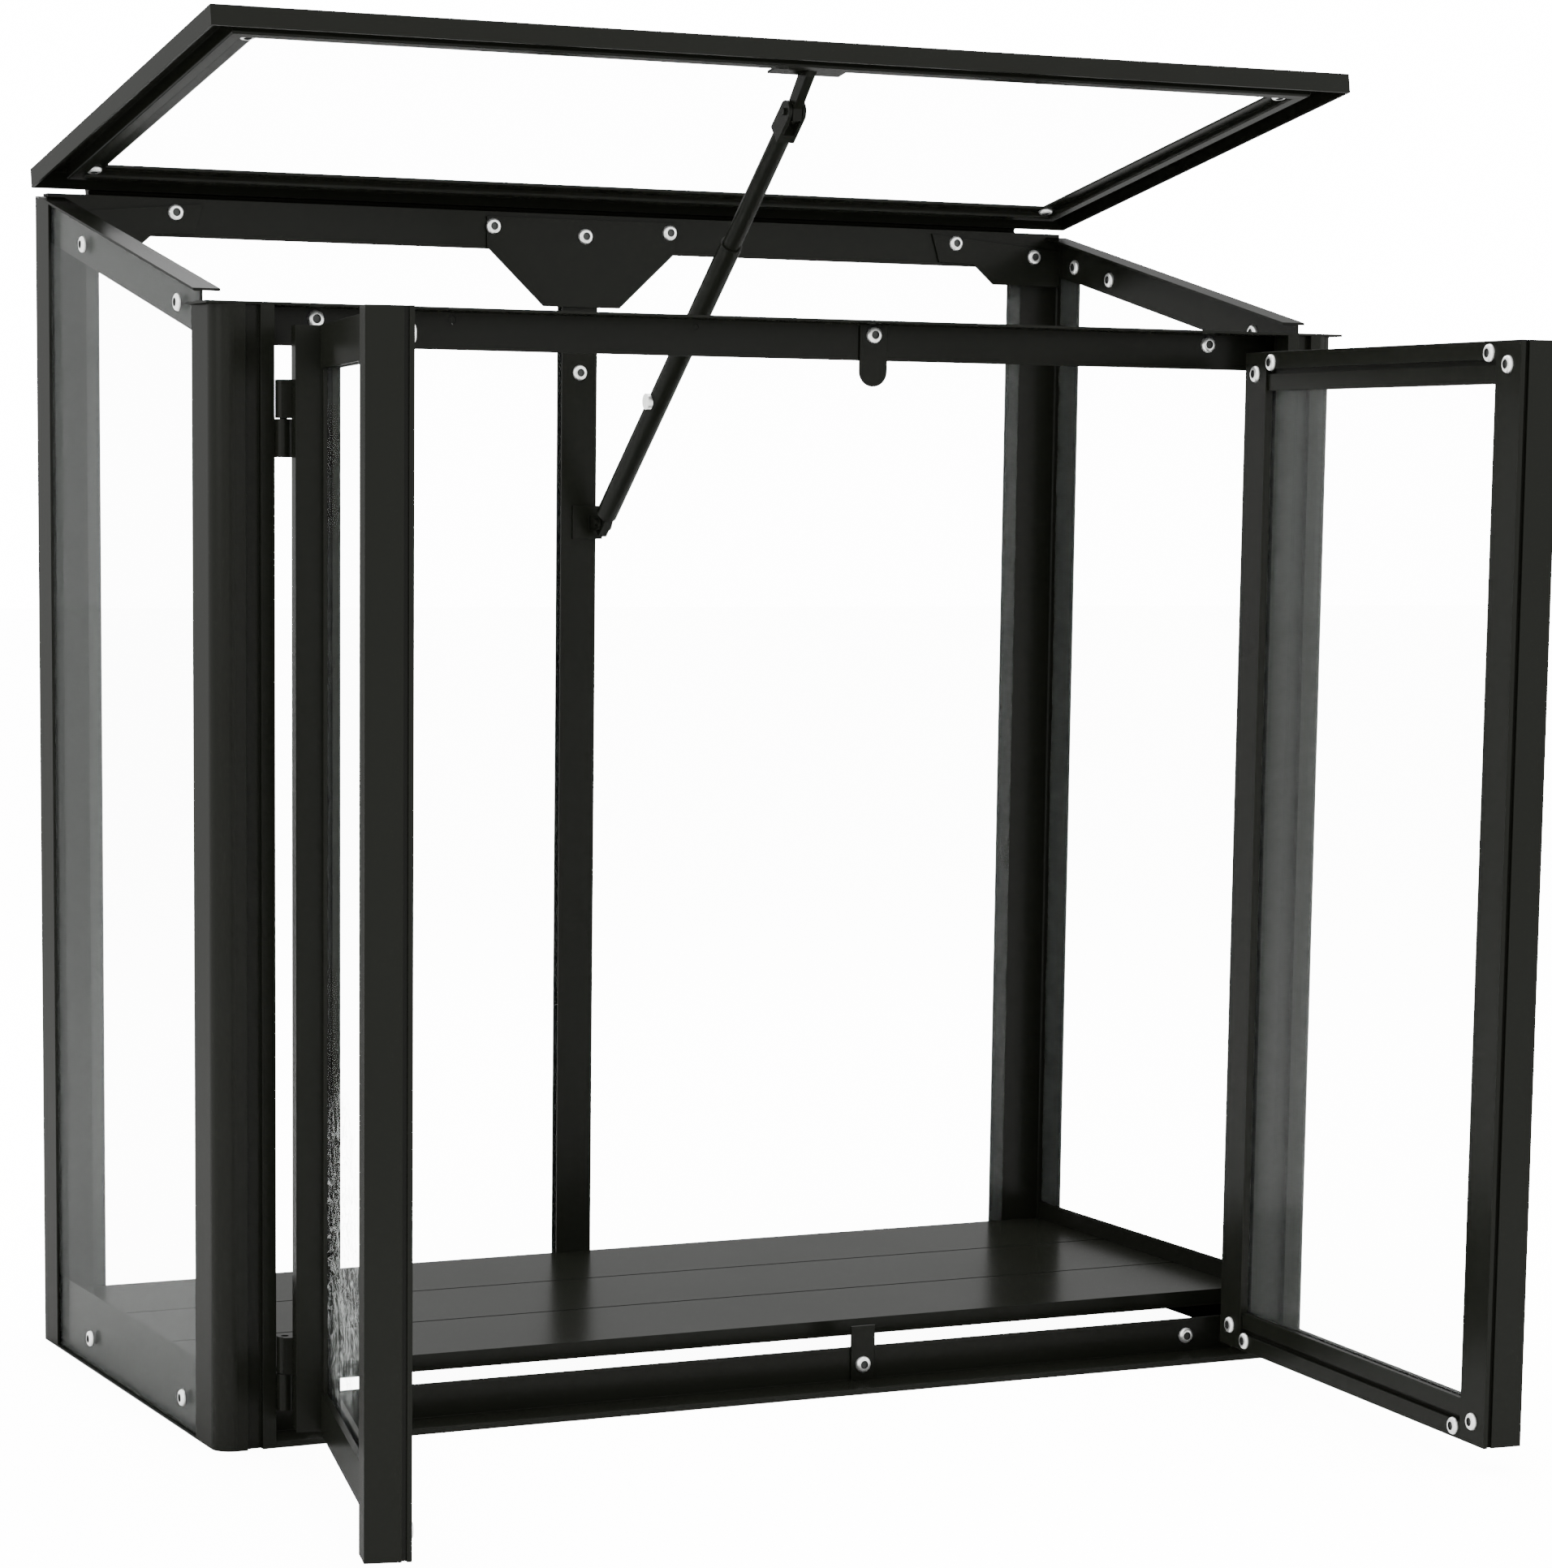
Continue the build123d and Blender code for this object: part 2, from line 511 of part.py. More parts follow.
def make_door(side, left):
    """One door: two stiles, two rails, its pane, the hinge knuckles it hangs on and its screws."""
    base = door_plane(left)
    up = 1 if left else -1
    half = DOOR_HEIGHT / 2
    with BuildPart() as hinge_stile:
        with BuildSketch(base.offset(-half)):
            with Locations((DOOR_EDGE_GAP, DOOR_OFFSET)):
                add(stile_section())
        extrude(amount=DOOR_HEIGHT)
    keep(hinge_stile, f"{side}_door_hinge_stile")
    with BuildPart() as free_stile:
        with BuildSketch(base.offset(-half)):
            with Locations((DOOR_END, DOOR_OFFSET)):
                add(mirror(stile_section(), about=Plane.YZ, mode=Mode.PRIVATE))
        extrude(amount=DOOR_HEIGHT)
    keep(free_stile, f"{side}_door_free_stile")
    rail_start = DOOR_EDGE_GAP + STILE_WIDTH
    rail_end = DOOR_END - STILE_WIDTH
    for end, way in (("top", 1), ("bottom", -1)):
        # Local x of the rail's section plane runs from the door's edge to its pane.
        normal = base.x_dir
        inward = Vector(0, 0, -way)
        origin = base.from_local_coords(Vector(rail_start, DOOR_OFFSET, up * way * half))
        rail_plane = Plane(origin=origin, x_dir=inward, z_dir=normal)
        flip = 1 if rail_plane.y_dir.dot(base.y_dir) > 0 else -1
        section = rail_section() if flip > 0 else mirror(rail_section(), about=Plane.XZ)
        keep(bar(rail_plane, section, 0, rail_end - rail_start), f"{side}_door_{end}_rail")
    bite = STILE_SLOT_DEPTH - 1
    with BuildPart() as pane:
        with BuildSketch(base.offset(-(half - DOOR_RAIL_HEIGHT + bite))):
            with Locations(((rail_start + rail_end) / 2, DOOR_OFFSET + PANE_SLOT + PANE / 2)):
                Rectangle(rail_end - rail_start + 2 * bite, PANE)
        extrude(amount=DOOR_HEIGHT - 2 * (DOOR_RAIL_HEIGHT - bite))
    keep(pane, f"{side}_door_pane")

    with BuildPart() as door_knuckles:
        for height in HINGE_HEIGHTS:
            low = up * (height - DOOR_MIDDLE)
            with BuildSketch(base.offset(low)):
                Circle(KNUCKLE_RADIUS)
                with Locations((DOOR_EDGE_GAP - WALL, DOOR_OFFSET + 3)):
                    Rectangle(2 * WALL, 20)
                with Locations((DOOR_EDGE_GAP / 2, KNUCKLE_RADIUS - 1.5)):
                    Rectangle(DOOR_EDGE_GAP, 3)
                Circle(PIN_RADIUS + RUN_GAP, mode=Mode.SUBTRACT)
            extrude(amount=up * KNUCKLE_LENGTH)
    keep(door_knuckles, f"{side}_door_knuckles")

    seats = []
    inner_face = DOOR_OFFSET + STILE_DEPTH
    for way in (-1, 1):
        level = way * (half - 18)
        stile_marks = (DOOR_EDGE_GAP + STILE_BOX_WIDTH / 2 + 4, DOOR_END - STILE_BOX_WIDTH / 2 - 4)
        rail_marks = (rail_start + 9, rail_end - 9)
        for along in stile_marks:
            seats.append((along, inner_face, level))
        for along in rail_marks:
            seats.append((along, inner_face, way * (half - 9)))
    planes = [Plane(origin=base.from_local_coords(Vector(*seat)), z_dir=base.y_dir) for seat in seats]
    keep(screw_group([(2 * WALL, planes)]), f"{side}_door_screws")


make_door("left", True)
make_door("right", False)

# The post halves of the lift-off hinges: a knuckle below each door knuckle, with its pin standing up.
with BuildPart() as left_post_hinges:
    leaf_x = -(SIDE - POST_WIDTH) + WALL / 2
    for height in HINGE_HEIGHTS:
        with BuildSketch(Plane.XY.offset(height - SEAT_GAP - KNUCKLE_LENGTH)):
            with Locations((-HINGE_X, FRONT)):
                Circle(KNUCKLE_RADIUS)
            with Locations((leaf_x, FRONT + 10)):
                Rectangle(WALL, 18)
            with Locations(((leaf_x - HINGE_X) / 2, FRONT + KNUCKLE_RADIUS - 1.5)):
                Rectangle(abs(leaf_x + HINGE_X) + WALL, 3)
        extrude(amount=KNUCKLE_LENGTH)
        with BuildSketch(Plane.XY.offset(height - SEAT_GAP)):
            with Locations((-HINGE_X, FRONT)):
                Circle(PIN_RADIUS)
        extrude(amount=KNUCKLE_LENGTH - WALL)
keep(left_post_hinges, "left_post_hinges")
keep(mirrored(left_post_hinges), "right_post_hinges")

# ================================================================ lid
# Lid plane: its origin is on the hinge axis, x runs to the right, y to the lid's front edge and z down.
lid = Plane(origin=(0, LID_AXIS_Y, LID_AXIS_Z), x_dir=(1, 0, 0), z_dir=(0, -sin(LID_RISE), -cos(LID_RISE)))
axis_over_roof = LID_AXIS_ABOVE * cos(SLOPE) - LID_AXIS_BEHIND * sin(SLOPE)
LID_TOP = axis_over_roof - LID_SEAT_GAP - LID_SKIRT
LID_HALF = SIDE + LID_OVERHANG
LID_LENGTH = (DEPTH + LID_AXIS_BEHIND) / cos(SLOPE) + LID_OVERHANG
LEDGE_START = 34.0
RIB_START = 26.0
RIB_DROP = 12.0
lid_points = [(0, LID_SKIRT), (0, 0), (RIB_START, 0), (RIB_START, RIB_DROP), (LEDGE_START, RIB_DROP),
              (LEDGE_START, LID_LEDGE), (LID_RAIL_WIDTH, LID_LEDGE)]


def lid_rail(origin, inward, length):
    """Lid rail with mitred ends, running from its outer corner; inward points to the pane."""
    down = lid.z_dir
    along = inward.cross(down)
    start = origin + down * LID_TOP
    section_plane = Plane(origin=start, x_dir=inward, z_dir=along)
    turned = section_plane.y_dir.dot(down) > 0
    section = folded(lid_points, side=Side.LEFT)
    if not turned:
        section = mirror(section, about=Plane.XZ)
    rail = bar(section_plane, section, 0, length)
    with BuildPart() as mitred:
        add(rail.part)
        for corner, way in ((start, 1), (start + along * length, -1)):
            face = (along * way - inward).normalized()
            split(bisect_by=Plane(origin=corner, z_dir=face), keep=Keep.TOP)
    return mitred


lid_x = Vector(1, 0, 0)
lid_y = lid.y_dir
rear_left = lid.from_local_coords(Vector(-LID_HALF, LID_REAR_GAP, 0))
rear_right = lid.from_local_coords(Vector(LID_HALF, LID_REAR_GAP, 0))
front_left = lid.from_local_coords(Vector(-LID_HALF, LID_LENGTH, 0))
front_right = lid.from_local_coords(Vector(LID_HALF, LID_LENGTH, 0))
lid_side_length = LID_LENGTH - LID_REAR_GAP


def ordered(first, second, inward):
    """The corner from which a rail runs along inward x down."""
    along = inward.cross(lid.z_dir)
    return first if (second - first).dot(along) > 0 else second


keep(lid_rail(ordered(front_left, front_right, -lid_y), -lid_y, 2 * LID_HALF), "lid_front_rail")
keep(lid_rail(ordered(rear_left, front_left, lid_x), lid_x, lid_side_length), "lid_left_rail")
keep(lid_rail(ordered(rear_right, front_right, -lid_x), -lid_x, lid_side_length), "lid_right_rail")
keep(lid_rail(ordered(rear_left, rear_right, lid_y), lid_y, 2 * LID_HALF), "lid_rear_rail")

# The hinge bead runs in the channel on the rear top rail, on an arm from the lid's rear skirt.
HINGE_LENGTH = 2 * (SIDE - POST_WIDTH)
ARM = 3.0
bead_plane = Plane(origin=lid.origin - lid_x * HINGE_LENGTH / 2, x_dir=lid_y, z_dir=lid_x)
with BuildPart() as lid_hinge_bead:
    with BuildSketch(bead_plane):
        Circle(BEAD_RADIUS)
        with Locations((LID_REAR_GAP / 2, 0)):
            Rectangle(LID_REAR_GAP, ARM)
    extrude(amount=HINGE_LENGTH)
keep(lid_hinge_bead, "lid_hinge_bead")

with BuildPart() as lid_hinge_channel:
    ring = BEAD_RADIUS + RUN_GAP + CHANNEL_WALL
    with BuildSketch(Plane.YZ.offset(-HINGE_LENGTH / 2)):
        with Locations((LID_AXIS_Y, LID_AXIS_Z)):
            Circle(ring)
        with Locations((REAR + WALL / 2, LID_AXIS_Z - CHANNEL_WALL - CHANNEL_FOOT / 2)):
            Rectangle(WALL, CHANNEL_FOOT)
        with Locations((LID_AXIS_Y, LID_AXIS_Z)):
            Circle(BEAD_RADIUS + RUN_GAP, mode=Mode.SUBTRACT)
        with BuildLine():
            Polyline((LID_AXIS_Y, LID_AXIS_Z), (LID_AXIS_Y - 2 * ring, LID_AXIS_Z + 2 * ring),
                     (LID_AXIS_Y - 2 * ring, LID_AXIS_Z - 1.7 * ring), close=True)
        make_face(mode=Mode.SUBTRACT)
    extrude(amount=HINGE_LENGTH)
keep(lid_hinge_channel, "lid_hinge_channel")

with BuildPart() as lid_pane:
    with BuildSketch(lid.offset(LID_TOP + LID_LEDGE - PANE - PANE_GAP)):
        with Locations((0, (LID_REAR_GAP + LID_LENGTH) / 2)):
            Rectangle(2 * (LID_HALF - LEDGE_START - PANE_GAP), lid_side_length - 2 * (LEDGE_START + PANE_GAP))
    extrude(amount=PANE)
keep(lid_pane, "lid_pane")

lid_seats = []
for x in (-1, 1):
    for y in (LID_REAR_GAP + 43, LID_LENGTH - 43):
        spot = lid.from_local_coords(Vector(x * (LID_HALF - 42.5), y, LID_TOP + LID_LEDGE + WALL))
        lid_seats.append(Plane(origin=spot, z_dir=lid.z_dir))
keep(screw_group([(WALL, lid_seats)]), "lid_screws")

# ================================================================ stay
lug_plane = Plane(origin=lid.from_local_coords(Vector(STAY_X, STAY_TOP_RUN, 0)), x_dir=lid_y, z_dir=lid_x)
lug_way = 1 if lug_plane.y_dir.dot(lid.z_dir) > 0 else -1
foot_y = REAR_WEB + WALL - STAY_FOOT_REACH
stay_foot_point = Vector(STAY_X, foot_y, STAY_FOOT_HEIGHT)
stay_head_point = lid.from_local_coords(Vector(STAY_X, STAY_TOP_RUN, STAY_TOP_DROP))
stay_vector = stay_head_point - stay_foot_point
stay_length = stay_vector.length
stay_direction = stay_vector.normalized()
seat_level = LID_TOP + LID_LEDGE + WALL
BRACKET_LENGTH = 64.0
EYE_RADIUS = 9.0
SLOT_ROOM = 3.0
bracket_edge = LEDGE_START + WALL + SEAT_GAP

# Lid bracket: a plate under the front rail's ledge, with one lug for the stay's fork.
with BuildPart() as lid_stay_bracket:
    with BuildSketch(lid.offset(seat_level)):
        with Locations((STAY_X, LID_LENGTH - (bracket_edge + LID_RAIL_WIDTH) / 2 - 4)):
            Rectangle(BRACKET_LENGTH, LID_RAIL_WIDTH - bracket_edge + 8)
    extrude(amount=WALL)
    with BuildSketch(lug_plane.offset(-LUG_THICKNESS / 2)):
        with BuildLine():
            lug_top = lug_way * seat_level
            lug_low = lug_way * (STAY_TOP_DROP + EYE_RADIUS)
            Polyline((LID_LENGTH - LID_RAIL_WIDTH - 8 - STAY_TOP_RUN, lug_top),
                     (LID_LENGTH - bracket_edge - STAY_TOP_RUN, lug_top),
                     (EYE_RADIUS, lug_way * STAY_TOP_DROP), (EYE_RADIUS * 0.7, lug_low),
                     (-EYE_RADIUS * 0.7, lug_low), (-EYE_RADIUS, lug_way * STAY_TOP_DROP), close=True)
        make_face()
        with Locations((0, lug_way * STAY_TOP_DROP)):
            Circle(STAY_PIN_RADIUS + SLOT_ROOM, mode=Mode.SUBTRACT)
    extrude(amount=LUG_THICKNESS)
keep(lid_stay_bracket, "lid_stay_bracket")

stay_cross = Vector(1, 0, 0)
stay_plane = Plane(origin=stay_foot_point, x_dir=stay_cross, z_dir=stay_direction)
PLUG_LENGTH = 24.0
FORK_LENGTH = 26.0
with BuildPart() as stay_lower_tube:
    with BuildSketch(stay_plane.offset(PLUG_LENGTH / 2)):
        Circle(LOWER_TUBE_RADIUS)
        Circle(UPPER_TUBE_RADIUS + RUN_GAP, mode=Mode.SUBTRACT)
    extrude(amount=LOWER_TUBE_LENGTH - PLUG_LENGTH / 2)
    with BuildSketch(stay_plane.offset(-EYE_RADIUS)):
        Rectangle(LUG_THICKNESS, 2 * EYE_RADIUS)
    extrude(amount=PLUG_LENGTH / 2 + EYE_RADIUS)
    with BuildSketch(stay_plane.offset(PLUG_LENGTH / 2)):
        Circle(LOWER_TUBE_RADIUS)
    extrude(amount=WALL)
    with BuildSketch(Plane(origin=stay_foot_point - stay_cross * 20, z_dir=stay_cross)):
        Circle(STAY_PIN_RADIUS + RUN_GAP)
    extrude(amount=40, mode=Mode.SUBTRACT)
keep(stay_lower_tube, "stay_lower_tube")

upper_start = stay_length - UPPER_TUBE_LENGTH
with BuildPart() as stay_upper_tube:
    with BuildSketch(stay_plane.offset(upper_start)):
        Circle(UPPER_TUBE_RADIUS)
        Circle(UPPER_TUBE_RADIUS - WALL, mode=Mode.SUBTRACT)
    extrude(amount=UPPER_TUBE_LENGTH - FORK_LENGTH)
keep(stay_upper_tube, "stay_upper_tube")

# The fork caps the upper tube and straddles the lid bracket's lug.
fork_side = LUG_THICKNESS / 2 + 0.8
FORK_WALL = 3.0
FORK_BASE = 8.0
fork_half = fork_side + FORK_WALL
with BuildPart() as stay_fork:
    with BuildSketch(stay_plane.offset(stay_length - FORK_LENGTH)):
        Rectangle(2 * fork_half, 2 * EYE_RADIUS)
    extrude(amount=FORK_BASE)
    for side in (-1, 1):
        ear_centre = stay_head_point + stay_cross * side * (fork_side + FORK_WALL / 2)
        ear_corner = ear_centre - stay_cross * FORK_WALL / 2
        ear_plane = Plane(origin=ear_corner, x_dir=stay_direction, z_dir=stay_cross)
        with BuildSketch(ear_plane):
            Circle(EYE_RADIUS)
            with Locations((-FORK_LENGTH / 2, 0)):
                Rectangle(FORK_LENGTH, 2 * EYE_RADIUS)
        extrude(amount=FORK_WALL)
    with BuildSketch(Plane(origin=stay_head_point - stay_cross * (fork_half + WALL), z_dir=stay_cross)):
        Circle(STAY_PIN_RADIUS)
    extrude(amount=2 * (fork_half + WALL))
keep(stay_fork, "stay_fork")

# The clamp screw threads into the lower tube, and the spring button lies flush in the upper one.
CLAMP_PLACE = 161.0
BUTTON_PLACE = 82.0
clamp_face = Vector(-1, 0, 0)
clamp_origin = stay_foot_point + stay_direction * CLAMP_PLACE + clamp_face * LOWER_TUBE_RADIUS
with BuildPart() as stay_clamp_screw:
    with BuildSketch(Plane(origin=clamp_origin - clamp_face * WALL / 2, z_dir=clamp_face)):
        Circle(HEAD_RADIUS)
    extrude(amount=HEAD_HEIGHT + WALL / 2)
keep(stay_clamp_screw, "stay_clamp_screw")
button_origin = stay_head_point - stay_direction * BUTTON_PLACE + clamp_face * UPPER_TUBE_RADIUS
with BuildPart() as stay_spring_button:
    with BuildSketch(Plane(origin=button_origin - clamp_face * WALL, z_dir=clamp_face)):
        Circle(SHANK_RADIUS)
    extrude(amount=WALL - SEAT_GAP)
keep(stay_spring_button, "stay_spring_button")

# Foot bracket on the rear centre post: a plate and two ears, with the pin that carries the lower tube.
ear_gap = LUG_THICKNESS / 2 + 0.5
post_face = REAR_WEB + WALL
with BuildPart() as stay_foot_bracket:
    with BuildSketch(Plane.XZ.offset(-post_face)):
        with Locations((STAY_X / 2, STAY_FOOT_HEIGHT)):
            Rectangle(2 * (ear_gap + WALL) + STAY_X, 30)
    extrude(amount=WALL)
    for side in (-1, 1):
        ear_x = STAY_X + side * (ear_gap + WALL / 2) - WALL / 2
        with BuildSketch(Plane.YZ.offset(ear_x)):
            with Locations((foot_y, STAY_FOOT_HEIGHT)):
                Circle(7)
            with Locations(((foot_y + post_face) / 2, STAY_FOOT_HEIGHT)):
                Rectangle(post_face - foot_y, 14)
        extrude(amount=WALL)
    with BuildSketch(Plane.YZ.offset(STAY_X - ear_gap - 2 * WALL)):
        with Locations((foot_y, STAY_FOOT_HEIGHT)):
            Circle(STAY_PIN_RADIUS)
    extrude(amount=2 * (ear_gap + 2 * WALL))
keep(stay_foot_bracket, "stay_foot_bracket")
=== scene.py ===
"""Cold frame: a black aluminium cabinet with clear panes, open doors and a raised lid.

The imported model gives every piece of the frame, the doors, the lid and the stay. This script dresses
them in powder coat, glass and plated steel, sets the screws and hole plugs, and lights them in a plain
studio.
All lengths are in metres: +X is to the right, +Y to the rear and +Z up.
"""

import json
import logging
from dataclasses import dataclass, field
from enum import Enum
from math import cos, pi, radians, sin
from typing import Any, Dict, List, Optional, Sequence, Tuple

import bpy
from mathutils import Matrix, Vector

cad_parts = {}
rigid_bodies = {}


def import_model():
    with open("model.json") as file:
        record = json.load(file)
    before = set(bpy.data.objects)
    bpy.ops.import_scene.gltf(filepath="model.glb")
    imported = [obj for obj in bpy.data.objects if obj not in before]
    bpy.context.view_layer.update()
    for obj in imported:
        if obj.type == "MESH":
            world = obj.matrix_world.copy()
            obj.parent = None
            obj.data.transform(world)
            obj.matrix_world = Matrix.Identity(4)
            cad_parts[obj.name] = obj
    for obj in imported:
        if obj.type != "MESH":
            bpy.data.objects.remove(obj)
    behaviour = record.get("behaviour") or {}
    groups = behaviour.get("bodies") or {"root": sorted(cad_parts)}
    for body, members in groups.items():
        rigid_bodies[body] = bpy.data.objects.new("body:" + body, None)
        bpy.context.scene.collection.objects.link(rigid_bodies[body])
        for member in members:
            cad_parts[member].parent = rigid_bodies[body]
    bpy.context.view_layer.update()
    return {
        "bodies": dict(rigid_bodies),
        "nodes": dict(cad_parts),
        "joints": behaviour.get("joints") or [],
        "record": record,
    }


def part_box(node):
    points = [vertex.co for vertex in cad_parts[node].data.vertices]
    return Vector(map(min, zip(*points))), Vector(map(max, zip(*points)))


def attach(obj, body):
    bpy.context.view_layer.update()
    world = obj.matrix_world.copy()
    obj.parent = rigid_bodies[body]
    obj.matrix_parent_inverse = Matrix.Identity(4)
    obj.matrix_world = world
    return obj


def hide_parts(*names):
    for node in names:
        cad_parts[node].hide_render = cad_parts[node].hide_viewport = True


log = logging.getLogger("cold_frame")
MM = 0.001
SCREW_SEED = 7
FLOOR_LEVEL = -0.2 * MM  # just under the feet, so that the two faces don't meet
FILM_INSET = (0.02, 0.08, 0.13)  # from the pane's hinge edge, its face and its foot to the film's middle
FILM_REACH = (0.2, 0.12, 0.14)
VERTEX_GRID = 1e6  # vertices this close, one in a million of a metre, are one vertex
NORMAL_GRID = 50  # faces whose normals agree to one in fifty face the same way
DEPTH_GRID = 1e4  # and to a tenth of a millimetre they lie in one plane
HEXAGON = 6

Vec3 = Tuple[float, float, float]


def srgb(hex_colour: str) -> Tuple[float, float, float, float]:
    """Turn a hex sRGB colour into linear RGBA.

    Args:
        hex_colour: six hex digits, without a hash sign.

    Returns:
        The linear colour with an alpha of 1.
    """
    def linear(value: float) -> float:
        """One channel from sRGB to linear light."""
        return value / 12.92 if value <= 0.04045 else ((value + 0.055) / 1.055) ** 2.4

    channels = [linear(int(hex_colour[i:i + 2], 16) / 255) for i in (0, 2, 4)]
    return channels[0], channels[1], channels[2], 1.0


def add_node(tree: bpy.types.NodeTree, kind: str, inputs: Optional[Dict[Any, Any]] = None,
             **settings: Any) -> bpy.types.Node:
    """Add a node with its settings, constants and links.

    Args:
        tree: the tree that the node goes in.
        kind: the node's type name.
        inputs: input name or index to a constant, or to an output socket that is linked to it.
        **settings: properties of the node itself.

    Returns:
        The new node.
    """
    node = tree.nodes.new(kind)
    for name, value in settings.items():
        setattr(node, name, value)
    for name, value in (inputs or {}).items():
        if isinstance(value, bpy.types.NodeSocket):
            tree.links.new(value, node.inputs[name])
        else:
            node.inputs[name].default_value = value
    return node


def new_material(name: str) -> Tuple[bpy.types.Material, bpy.types.NodeTree]:
    """Make a material with an empty node tree.

    Args:
        name: the real material's name.

    Returns:
        The material and its tree.
    """
    material = bpy.data.materials.new(name)
    material.use_nodes = True
    material.node_tree.nodes.clear()
    return material, material.node_tree


def ramp(tree: bpy.types.NodeTree, factor: bpy.types.NodeSocket,
         stops: Sequence[Tuple[float, float]]) -> bpy.types.NodeSocket:
    """Grey colour ramp.

    Args:
        tree: the tree that it goes in.
        factor: what it reads.
        stops: position and linear grey of each stop, in order.

    Returns:
        The colour output.
    """
    node = add_node(tree, "ShaderNodeValToRGB", {"Fac": factor})
    elements = node.color_ramp.elements
    while len(elements) < len(stops):
        elements.new(0.5)
    for element, (place, grey) in zip(elements, stops):
        element.position = place
        element.color = (grey, grey, grey, 1.0)
    return node.outputs["Color"]


# ---------------------------------------------------------------------------------------- finishes
@dataclass(frozen=True)
class PowderCoat:
    """Satin powder coat on aluminium: nearly black, slightly warm, with a fine orange-peel grain."""

    name: str = "powder-coated aluminium"
    base: str = "0a0b08"
    worn: str = "0d0e0b"
    roughness_low: float = 0.2
    roughness_high: float = 0.28
    grain_mm: float = 0.9
    cloud_mm: float = 140.0
    edge_mm: float = 0.5
    bump: float = 0.05
    gloss: float = 0.1

    def build(self) -> bpy.types.Material:
        """Build the material.

        Returns:
            The powder coat.
        """
        material, tree = new_material(self.name)
        place = add_node(tree, "ShaderNodeTexCoord").outputs["Object"]
        cloud = add_node(tree, "ShaderNodeTexNoise",
                         {"Vector": place, "Scale": 1 / (self.cloud_mm * MM), "Detail": 3.0})
        grain = add_node(tree, "ShaderNodeTexNoise",
                         {"Vector": place, "Scale": 1 / (self.grain_mm * MM), "Detail": 2.0})
        colour = add_node(tree, "ShaderNodeMix",
                          {"Factor": cloud.outputs["Fac"], "A": srgb(self.base), "B": srgb(self.worn)},
                          data_type="RGBA")
        roughness = add_node(tree, "ShaderNodeMapRange",
                             {"Value": cloud.outputs["Fac"], "To Min": self.roughness_low,
                              "To Max": self.roughness_high})
        edge = add_node(tree, "ShaderNodeBevel", {"Radius": self.edge_mm * MM}, samples=4)
        bump = add_node(tree, "ShaderNodeBump",
                        {"Height": grain.outputs["Fac"], "Strength": self.bump,
                         "Distance": 0.1 * MM, "Normal": edge.outputs["Normal"]})
        shader = add_node(tree, "ShaderNodeBsdfPrincipled",
                          {"Base Color": mix_output(colour), "Roughness": roughness.outputs["Result"],
                           "Normal": bump.outputs["Normal"], "Specular IOR Level": 0.0,
                           "Coat Weight": self.gloss, "Coat Roughness": roughness.outputs["Result"],
                           "Coat Normal": bump.outputs["Normal"]})
        add_node(tree, "ShaderNodeOutputMaterial", {"Surface": shader.outputs["BSDF"]})
        return material


